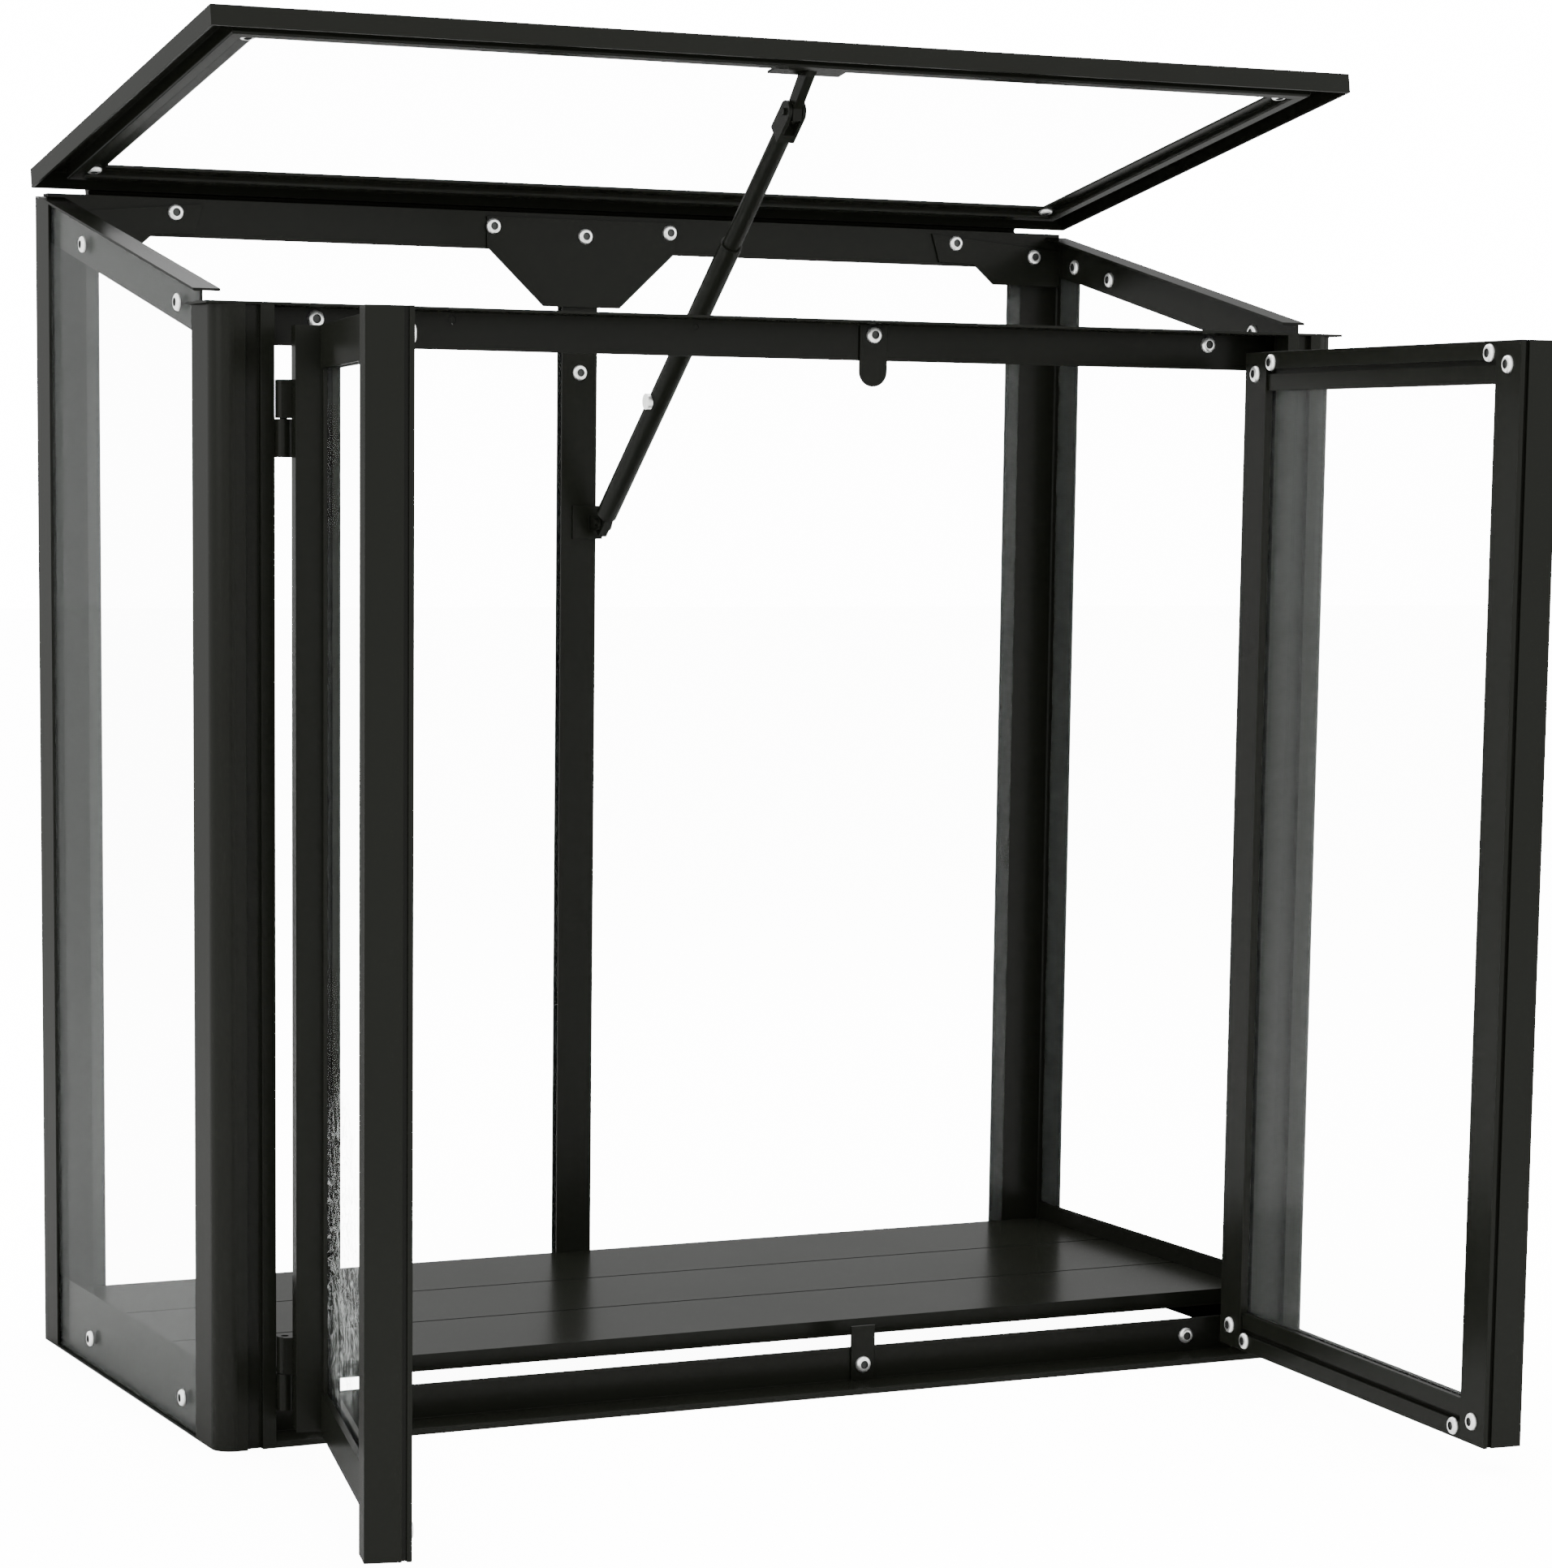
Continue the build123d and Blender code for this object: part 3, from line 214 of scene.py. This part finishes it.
@dataclass(frozen=True)
class ClearPane:
    """Clear toughened pane, 3 mm thick, with an optional film that still clings to one corner and whose
    creases carry painted glints.
    """

    name: str = "toughened glass"
    tint: str = "6d716f"
    cover: float = 0.05
    roughness: float = 0.06
    film: bool = False
    film_centre: Vec3 = (0.0, 0.0, 0.0)
    film_reach: Vec3 = (0.1, 0.1, 0.1)
    fold_mm: float = 26.0
    # painted glints along the film's creases: how opaque and how pale the pane is painted along them
    painted_glint_cover: float = 0.4
    painted_glint_tint: str = "e4e8e6"

    def build(self) -> bpy.types.Material:
        """Build the material.

        Returns:
            The clear pane.
        """
        material, tree = new_material(self.name)
        place = add_node(tree, "ShaderNodeTexCoord").outputs["Object"]
        smear = add_node(tree, "ShaderNodeTexNoise", {"Vector": place, "Scale": 6.0, "Detail": 2.0})
        roughness = add_node(tree, "ShaderNodeMapRange",
                             {"Value": smear.outputs["Fac"], "To Min": self.roughness * 0.7,
                              "To Max": self.roughness * 1.4})
        shader = add_node(tree, "ShaderNodeBsdfPrincipled",
                          {"Base Color": srgb(self.tint), "Roughness": roughness.outputs["Result"],
                           "Alpha": self.cover, "IOR": 1.5})
        if self.film:
            self.cling(tree, place, shader)
        add_node(tree, "ShaderNodeOutputMaterial", {"Surface": shader.outputs["BSDF"]})
        return material

    def cling(self, tree: bpy.types.NodeTree, place: bpy.types.NodeSocket,
              shader: bpy.types.Node) -> None:
        """Wrinkle and cloud the pane where the film clings.

        Args:
            tree: the pane's tree.
            place: object coordinates.
            shader: the pane's shader.
        """
        reach = Vector(self.film_reach)
        mapped = add_node(tree, "ShaderNodeVectorMath", {0: place, 1: self.film_centre},
                          operation="SUBTRACT")
        scaled = add_node(tree, "ShaderNodeVectorMath",
                          {0: mapped.outputs[0], 1: (1 / reach.x, 1 / reach.y, 1 / reach.z)},
                          operation="MULTIPLY")
        far = add_node(tree, "ShaderNodeVectorMath", {0: scaled.outputs[0]}, operation="LENGTH")
        inside = ramp(tree, far.outputs["Value"], ((0.0, 1.0), (0.75, 1.0), (1.0, 0.0)))
        folds = add_node(tree, "ShaderNodeTexNoise",
                         {"Vector": place, "Scale": 1 / (self.fold_mm * MM), "Detail": 4.0,
                          "Distortion": 1.6})
        crease = ramp(tree, folds.outputs["Fac"], ((0.46, 0.0), (0.5, 1.0), (0.54, 0.0)))
        # painted glint: the pane turns paler and less clear along the creases inside the film's patch
        glint = add_node(tree, "ShaderNodeMath", {0: inside, 1: crease}, operation="MULTIPLY")
        cover = add_node(tree, "ShaderNodeMapRange",
                         {"Value": glint.outputs[0], "To Min": self.cover, "To Max": self.painted_glint_cover})
        tree.links.new(cover.outputs["Result"], shader.inputs["Alpha"])
        colour = add_node(tree, "ShaderNodeMix",
                          {"Factor": glint.outputs[0], "A": srgb(self.tint), "B": srgb(self.painted_glint_tint)},
                          data_type="RGBA")
        tree.links.new(mix_output(colour), shader.inputs["Base Color"])


@dataclass(frozen=True)
class PlatedSteel:
    """Bright zinc plate on steel screws and pins."""

    name: str = "zinc-plated steel"
    base: str = "c9cac8"
    roughness: float = 0.28
    grain_mm: float = 0.6

    def build(self) -> bpy.types.Material:
        """Build the material.

        Returns:
            The plated steel.
        """
        material, tree = new_material(self.name)
        place = add_node(tree, "ShaderNodeTexCoord").outputs["Object"]
        grain = add_node(tree, "ShaderNodeTexNoise",
                         {"Vector": place, "Scale": 1 / (self.grain_mm * MM), "Detail": 2.0})
        roughness = add_node(tree, "ShaderNodeMapRange",
                             {"Value": grain.outputs["Fac"], "To Min": self.roughness * 0.8,
                              "To Max": self.roughness * 1.25})
        shader = add_node(tree, "ShaderNodeBsdfPrincipled",
                          {"Base Color": srgb(self.base), "Roughness": roughness.outputs["Result"],
                           "Metallic": 0.85})
        add_node(tree, "ShaderNodeOutputMaterial", {"Surface": shader.outputs["BSDF"]})
        return material


@dataclass(frozen=True)
class PaleFloor:
    """Plain pale studio floor."""

    name: str = "pale studio floor"
    base: str = "f4f4f3"
    glow: float = 12.6

    def build(self) -> bpy.types.Material:
        """Build the material.

        Returns:
            The floor's material.
        """
        material, tree = new_material(self.name)
        seen = add_node(tree, "ShaderNodeLightPath").outputs["Is Camera Ray"]
        glow = add_node(tree, "ShaderNodeMath", {0: seen, 1: self.glow}, operation="MULTIPLY")
        shader = add_node(tree, "ShaderNodeBsdfPrincipled",
                          {"Base Color": srgb(self.base), "Roughness": 0.9, "Specular IOR Level": 0.1,
                           "Emission Color": srgb(self.base), "Emission Strength": glow.outputs[0]})
        add_node(tree, "ShaderNodeOutputMaterial", {"Surface": shader.outputs["BSDF"]})
        return material


def mix_output(node: bpy.types.Node) -> bpy.types.NodeSocket:
    """The colour output of a Mix node set to RGBA."""
    return next(socket for socket in node.outputs if socket.enabled and socket.type == "RGBA")


def dress(node: bpy.types.Object, material: bpy.types.Material) -> None:
    """Give every face of a piece one material.

    Args:
        node: the piece.
        material: its finish.
    """
    slots = node.data.materials
    if not slots:
        slots.append(material)
    for index in range(len(slots)):
        slots[index] = material


# ---------------------------------------------------------------------------------------- screws
@dataclass
class ScrewHeads:
    """Button-head screws with a hexagon recess, one on each seat of a packed screw group."""

    name: str
    source: str
    body: str
    steel: bpy.types.Material
    # darker grey for the hexagon recess: painted shade inside it
    shade: bpy.types.Material
    head_radius: float = 6.9 * MM
    head_height: float = 3.1 * MM
    recess_radius: float = 3.5 * MM
    recess_depth: float = 1.2 * MM
    steps: int = 32
    seats: List[Tuple[Vector, Vector]] = field(default_factory=list)

    def find_seats(self, node: bpy.types.Object) -> None:
        """Find the flat ring under each head: its middle is the seat and its back is the screw's axis.

        Args:
            node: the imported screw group.
        """
        mesh = node.data
        owner = list(range(len(mesh.vertices)))

        def root(index: int) -> int:
            """The loose part that a vertex belongs to."""
            while owner[index] != index:
                owner[index] = owner[owner[index]]
                index = owner[index]
            return index

        by_place: Dict[Tuple[int, int, int], int] = {}
        for vertex in mesh.vertices:
            key = tuple(round(value * VERTEX_GRID) for value in vertex.co)
            owner[root(vertex.index)] = root(by_place.setdefault(key, vertex.index))
        for edge in mesh.edges:
            owner[root(edge.vertices[0])] = root(edge.vertices[1])
        flats: Dict[int, Dict[Tuple[int, ...], List[Any]]] = {}
        for face in mesh.polygons:
            depth = round(face.center.dot(face.normal) * DEPTH_GRID)
            facing = (*(round(value * NORMAL_GRID) for value in face.normal), depth)
            part = flats.setdefault(root(face.vertices[0]), {})
            flat = part.setdefault(facing, [0.0, Vector(), Vector()])
            flat[0] += face.area
            flat[1] += face.center * face.area
            flat[2] += face.normal * face.area
        for part in flats.values():
            area, middle, facing = max(part.values(), key=lambda flat: flat[0])
            self.seats.append((middle / area, -(facing / area).normalized()))

    def tree(self) -> bpy.types.NodeTree:
        """Build the geometry tree that sets a head on each point.

        Returns:
            The tree, with the head's sizes as named inputs.
        """
        group = bpy.data.node_groups.new(f"{self.name} setting", "GeometryNodeTree")
        face = group.interface
        face.new_socket("Geometry", in_out="INPUT", socket_type="NodeSocketGeometry")
        for label in ("Head radius", "Head height", "Recess radius", "Recess depth"):
            face.new_socket(label, in_out="INPUT", socket_type="NodeSocketFloat")
        face.new_socket("Turn seed", in_out="INPUT", socket_type="NodeSocketInt")
        face.new_socket("Geometry", in_out="OUTPUT", socket_type="NodeSocketGeometry")
        given = group.nodes.new("NodeGroupInput").outputs
        downward = add_node(group, "ShaderNodeMath", {0: given["Head height"], 1: -1.0},
                            operation="MULTIPLY")
        top_rim = add_node(group, "ShaderNodeCombineXYZ",
                           {"X": given["Recess radius"], "Y": downward.outputs[0]})
        shoulder = add_node(group, "ShaderNodeCombineXYZ",
                            {"X": given["Head radius"], "Y": downward.outputs[0]})
        seat_rim = add_node(group, "ShaderNodeCombineXYZ", {"X": given["Head radius"]})
        dome_line = add_node(group, "GeometryNodeCurveQuadraticBezier",
                             {"Resolution": 8, "Start": top_rim.outputs[0], "Middle": shoulder.outputs[0],
                              "End": seat_rim.outputs[0]})
        ring = add_node(group, "GeometryNodeCurvePrimitiveCircle",
                        {"Resolution": self.steps, "Radius": 1e-5})
        dome = add_node(group, "GeometryNodeCurveToMesh",
                        {"Curve": ring.outputs["Curve"], "Profile Curve": dome_line.outputs["Curve"]})
        shaped = add_node(group, "GeometryNodeSetShadeSmooth", {"Geometry": dome.outputs["Mesh"]})
        plated = add_node(group, "GeometryNodeSetMaterial",
                          {"Geometry": shaped.outputs["Geometry"], "Material": self.steel})
        recess_middle = add_node(group, "ShaderNodeMath",
                                 {0: given["Recess depth"], 1: 0.5}, operation="MULTIPLY")
        recess_height = add_node(group, "ShaderNodeMath",
                                 {0: given["Head height"], 1: recess_middle.outputs[0]},
                                 operation="SUBTRACT")
        cup = add_node(group, "GeometryNodeMeshCylinder",
                       {"Vertices": HEXAGON, "Radius": given["Recess radius"],
                        "Depth": given["Recess depth"]},
                       fill_type="NGON")
        lifted = add_node(group, "ShaderNodeCombineXYZ", {"Z": recess_height.outputs[0]})
        placed = add_node(group, "GeometryNodeTransform",
                          {"Geometry": cup.outputs["Mesh"], "Translation": lifted.outputs[0]})
        normal = add_node(group, "GeometryNodeInputNormal")
        split_normal = add_node(group, "ShaderNodeSeparateXYZ", {0: normal.outputs[0]})
        is_lid = add_node(group, "FunctionNodeCompare", {0: split_normal.outputs["Z"], 1: 0.5},
                          operation="GREATER_THAN")
        opened = add_node(group, "GeometryNodeDeleteGeometry",
                          {"Geometry": placed.outputs["Geometry"], "Selection": is_lid.outputs[0]},
                          domain="FACE")
        turned = add_node(group, "GeometryNodeFlipFaces", {"Mesh": opened.outputs["Geometry"]})
        # the recess cup takes the darker grey: painted shade inside the recess
        shaded = add_node(group, "GeometryNodeSetMaterial",
                          {"Geometry": turned.outputs["Mesh"], "Material": self.shade})
        head = add_node(group, "GeometryNodeJoinGeometry")
        group.links.new(plated.outputs["Geometry"], head.inputs[0])
        group.links.new(shaded.outputs["Geometry"], head.inputs[0])
        axis = add_node(group, "GeometryNodeInputNamedAttribute", {"Name": "axis"},
                        data_type="FLOAT_VECTOR")
        aim = add_node(group, "FunctionNodeAlignRotationToVector", {"Vector": axis.outputs["Attribute"]},
                       axis="Z")
        turn = add_node(group, "FunctionNodeRandomValue",
                        {2: 0.0, 3: 2 * pi / HEXAGON, "Seed": given["Turn seed"]}, data_type="FLOAT")
        spin = add_node(group, "ShaderNodeCombineXYZ", {"Z": turn.outputs[1]})
        spun = add_node(group, "FunctionNodeEulerToRotation", {"Euler": spin.outputs[0]})
        both = add_node(group, "FunctionNodeRotateRotation",
                        {"Rotation": aim.outputs[0], "Rotate By": spun.outputs[0]},
                        rotation_space="LOCAL")
        points = add_node(group, "GeometryNodeMeshToPoints", {"Mesh": given["Geometry"]})
        spread = add_node(group, "GeometryNodeInstanceOnPoints",
                          {"Points": points.outputs["Points"], "Instance": head.outputs["Geometry"],
                           "Rotation": both.outputs[0]})
        real = add_node(group, "GeometryNodeRealizeInstances", {"Geometry": spread.outputs["Instances"]})
        add_node(group, "NodeGroupOutput", {"Geometry": real.outputs["Geometry"]})
        return group

    def build(self, node: bpy.types.Object) -> bpy.types.Object:
        """Set the screws and hand them to their body.

        Args:
            node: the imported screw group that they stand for.

        Returns:
            The mesh of all the heads.
        """
        self.find_seats(node)
        cloud = bpy.data.meshes.new(f"{self.name}_seats")
        cloud.from_pydata([tuple(seat) for seat, _ in self.seats], [], [])
        axes = cloud.attributes.new("axis", "FLOAT_VECTOR", "POINT")
        for index, (_, axis) in enumerate(self.seats):
            axes.data[index].vector = axis
        maker = bpy.data.objects.new(f"{self.name}_maker", cloud)
        bpy.context.scene.collection.objects.link(maker)
        modifier = maker.modifiers.new("setting", "NODES")
        modifier.node_group = self.tree()
        values = {"Head radius": self.head_radius, "Head height": self.head_height,
                  "Recess radius": self.recess_radius, "Recess depth": self.recess_depth,
                  "Turn seed": SCREW_SEED}
        for item in modifier.node_group.interface.items_tree:
            if item.in_out == "INPUT" and item.name in values:
                modifier[item.identifier] = values[item.name]
        graph = bpy.context.evaluated_depsgraph_get()
        mesh = bpy.data.meshes.new_from_object(maker.evaluated_get(graph), depsgraph=graph)
        heads = bpy.data.objects.new(self.name, mesh)
        bpy.context.scene.collection.objects.link(heads)
        maker.modifiers.clear()
        bpy.data.objects.remove(maker)
        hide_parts(self.source)
        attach(heads, self.body)
        log.info("%s: %d screws, %d faces", self.name, len(self.seats), len(mesh.polygons))
        return heads


# ---------------------------------------------------------------------------------------- hole plugs
@dataclass
class HolePlug:
    """A small black plug that fills a spare hole of the front top rail."""

    name: str
    across: float
    radius: float
    plastic: bpy.types.Material
    below_top: float = 7.5 * MM
    sheet: float = 2.0 * MM
    set_back: float = 0.3 * MM
    thickness: float = 1.4 * MM
    steps: int = 40

    def build(self, rail: str, body: str) -> bpy.types.Object:
        """Press the plug into the sheet at the rail's rear.

        Args:
            rail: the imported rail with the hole.
            body: the body that the plug moves with.

        Returns:
            The plug.
        """
        _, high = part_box(rail)
        front = high[1] - self.sheet + self.set_back
        height = high[2] - self.below_top
        rims = [[(self.across + self.radius * cos(2 * pi * step / self.steps), front + deep,
                  height + self.radius * sin(2 * pi * step / self.steps)) for step in range(self.steps)]
                for deep in (0.0, self.thickness)]
        mesh = bpy.data.meshes.new(self.name)
        sides = [(step, self.steps + step, self.steps + (step + 1) % self.steps, (step + 1) % self.steps)
                 for step in range(self.steps)]
        caps = [tuple(range(self.steps)), tuple(range(2 * self.steps - 1, self.steps - 1, -1))]
        mesh.from_pydata(rims[0] + rims[1], [], sides + caps)
        plug = bpy.data.objects.new(self.name, mesh)
        bpy.context.scene.collection.objects.link(plug)
        dress(plug, self.plastic)
        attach(plug, body)
        log.info("%s: %d faces", self.name, len(mesh.polygons))
        return plug


# ---------------------------------------------------------------------------------------- studio
class LightSide(Enum):
    """Where each soft box stands."""

    LEFT = "left"
    RIGHT = "right"
    ABOVE = "above"
    REAR = "rear"


@dataclass(frozen=True)
class SoftBox:
    """One rectangular soft light."""

    side: LightSide
    place: Vec3
    aim: Vec3
    size: Tuple[float, float]
    power: float

    def build(self) -> bpy.types.Object:
        """Hang the light.

        Returns:
            The light.
        """
        lamp = bpy.data.lights.new(f"soft box {self.side.value}", "AREA")
        lamp.shape = "RECTANGLE"
        lamp.size, lamp.size_y = self.size
        lamp.energy = self.power
        light = bpy.data.objects.new(lamp.name, lamp)
        light.location = self.place
        light.rotation_euler = (Vector(self.aim) - Vector(self.place)).to_track_quat("-Z", "Y").to_euler()
        bpy.context.scene.collection.objects.link(light)
        return light


@dataclass
class Studio:
    """Pale floor, soft light and the camera."""

    floor_size: float = 40.0
    sky: str = "ffffff"
    sky_strength: float = 3.8
    backdrop_strength: float = 16.0
    camera_place: Vec3 = (-1.5188, -3.0964, 0.7551)
    camera_yaw: float = 25.5
    camera_pitch: float = -7.2
    camera_roll: float = 0.7
    camera_lens: float = 96.88
    camera_shift: Tuple[float, float] = (0.0221, 0.1466)
    boxes: Tuple[SoftBox, ...] = (
        SoftBox(LightSide.LEFT, (-3.4, -1.2, 1.9), (0.0, 0.1, 0.5), (1.6, 2.4), 40.0),
        SoftBox(LightSide.RIGHT, (3.2, -2.0, 1.6), (0.2, 0.0, 0.5), (1.4, 2.2), 50.0),
        SoftBox(LightSide.ABOVE, (0.2, 0.6, 3.4), (0.0, 0.1, 0.4), (2.6, 2.0), 90.0),
        SoftBox(LightSide.REAR, (0.4, 2.6, 2.4), (0.0, 0.2, 0.5), (2.4, 0.8), 90.0),
    )

    def lay_floor(self, material: bpy.types.Material) -> None:
        """Lay the floor under the cabinet.

        Args:
            material: the floor's finish.
        """
        half = self.floor_size / 2
        mesh = bpy.data.meshes.new("studio_floor")
        corners = ((-half, -half), (half, -half), (half, half), (-half, half))
        mesh.from_pydata([(*corner, FLOOR_LEVEL) for corner in corners], [], [(0, 1, 2, 3)])
        floor = bpy.data.objects.new("studio_floor", mesh)
        floor.data.materials.append(material)
        bpy.context.scene.collection.objects.link(floor)

    def light(self) -> None:
        """Light the white surroundings and hang the soft boxes."""
        world = bpy.data.worlds.new("white studio")
        bpy.context.scene.world = world
        world.use_nodes = True
        world.node_tree.nodes.clear()
        tree = world.node_tree
        lighting = add_node(tree, "ShaderNodeBackground",
                            {"Color": srgb(self.sky), "Strength": self.sky_strength})
        backdrop = add_node(tree, "ShaderNodeBackground",
                            {"Color": srgb(self.sky), "Strength": self.backdrop_strength})
        seen = add_node(tree, "ShaderNodeLightPath").outputs["Is Camera Ray"]
        both = add_node(tree, "ShaderNodeMixShader",
                        {0: seen, 1: lighting.outputs[0], 2: backdrop.outputs[0]})
        add_node(tree, "ShaderNodeOutputWorld", {"Surface": both.outputs[0]})
        for box in self.boxes:
            box.build()

    def place_camera(self) -> None:
        """Place the camera in front of the cabinet's left side."""
        yaw, pitch, roll = (radians(a) for a in (self.camera_yaw, self.camera_pitch, self.camera_roll))
        ahead = Vector((sin(yaw) * cos(pitch), cos(yaw) * cos(pitch), sin(pitch)))
        level = Vector((cos(yaw), -sin(yaw), 0.0))
        upward = level.cross(ahead)
        right = level * cos(roll) + upward * sin(roll)
        top = upward * cos(roll) - level * sin(roll)
        lens = bpy.data.cameras.new("camera")
        lens.sensor_width = 36.0
        lens.lens = self.camera_lens
        lens.shift_x, lens.shift_y = self.camera_shift
        camera = bpy.data.objects.new("camera", lens)
        frame = Matrix((right, top, -ahead)).transposed().to_4x4()
        camera.matrix_world = Matrix.Translation(self.camera_place) @ frame
        bpy.context.scene.collection.objects.link(camera)
        bpy.context.scene.camera = camera


# ---------------------------------------------------------------------------------------- cabinet
@dataclass
class Cabinet:
    """The whole cabinet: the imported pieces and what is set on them."""

    nodes: Dict[str, bpy.types.Object]
    coat: bpy.types.Material
    pane: bpy.types.Material
    filmed: bpy.types.Material
    steel: bpy.types.Material
    shade: bpy.types.Material
    filmed_pane: str = "left_door_pane"
    plated: Tuple[str, ...] = ("stay_spring_button", "stay_clamp_screw")
    screw_groups: Tuple[Tuple[str, str], ...] = (
        ("frame_screws", "cabinet"), ("left_door_screws", "left_door"),
        ("right_door_screws", "right_door"), ("lid_screws", "lid"))
    spare_holes: Tuple[Tuple[str, float, float], ...] = (
        ("left_hole_plug", -0.289, 3.25 * MM), ("middle_hole_plug", -0.079, 2.45 * MM))

    def dress_pieces(self) -> None:
        """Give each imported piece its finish."""
        for name, node in self.nodes.items():
            if name == self.filmed_pane:
                dress(node, self.filmed)
            elif name.endswith("pane"):
                dress(node, self.pane)
            elif name in self.plated:
                dress(node, self.steel)
            else:
                dress(node, self.coat)

    def set_screws(self) -> None:
        """Set the screws on every body."""
        for source, body in self.screw_groups:
            heads = ScrewHeads(f"{source[:-1]}_heads", source, body, self.steel, self.shade)
            heads.build(self.nodes[source])


    def plug_holes(self) -> None:
        """Plug the spare holes of the front top rail."""
        for name, across, radius in self.spare_holes:
            HolePlug(name, across, radius, self.coat).build("front_top_rail", "cabinet")


def film_corner(low: Vector, high: Vector) -> Tuple[Vec3, Vec3]:
    """Where the film clings: the lower part of the door's pane, beside its hinge.

    Args:
        low: lowest corner of the pane.
        high: highest corner of the pane.

    Returns:
        The middle of the film and how far it reaches.
    """
    across, deep, up = FILM_INSET
    return (high[0] - across, high[1] - deep, low[2] + up), FILM_REACH


def main() -> None:
    """Build the cold frame and its studio."""
    logging.basicConfig(level=logging.INFO)
    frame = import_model()
    centre, reach = film_corner(*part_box("left_door_pane"))
    studio = Studio()
    studio.lay_floor(PaleFloor().build())
    studio.light()
    studio.place_camera()
    cabinet = Cabinet(
        nodes=frame["nodes"], coat=PowderCoat().build(), pane=ClearPane().build(),
        filmed=ClearPane(name="toughened glass with film", film=True, film_centre=centre,
                         film_reach=reach).build(),
        steel=PlatedSteel().build(),
        # the recess material is a darker grey than the heads: painted shade in the hexagon recess
        shade=PlatedSteel(name="painted recess shade", base="2e2f2e", roughness=0.5).build())
    cabinet.dress_pieces()
    cabinet.set_screws()
    cabinet.plug_holes()
    log.info("dressed %d packed pieces", len(cabinet.nodes))


if __name__ == "__main__":
    main()
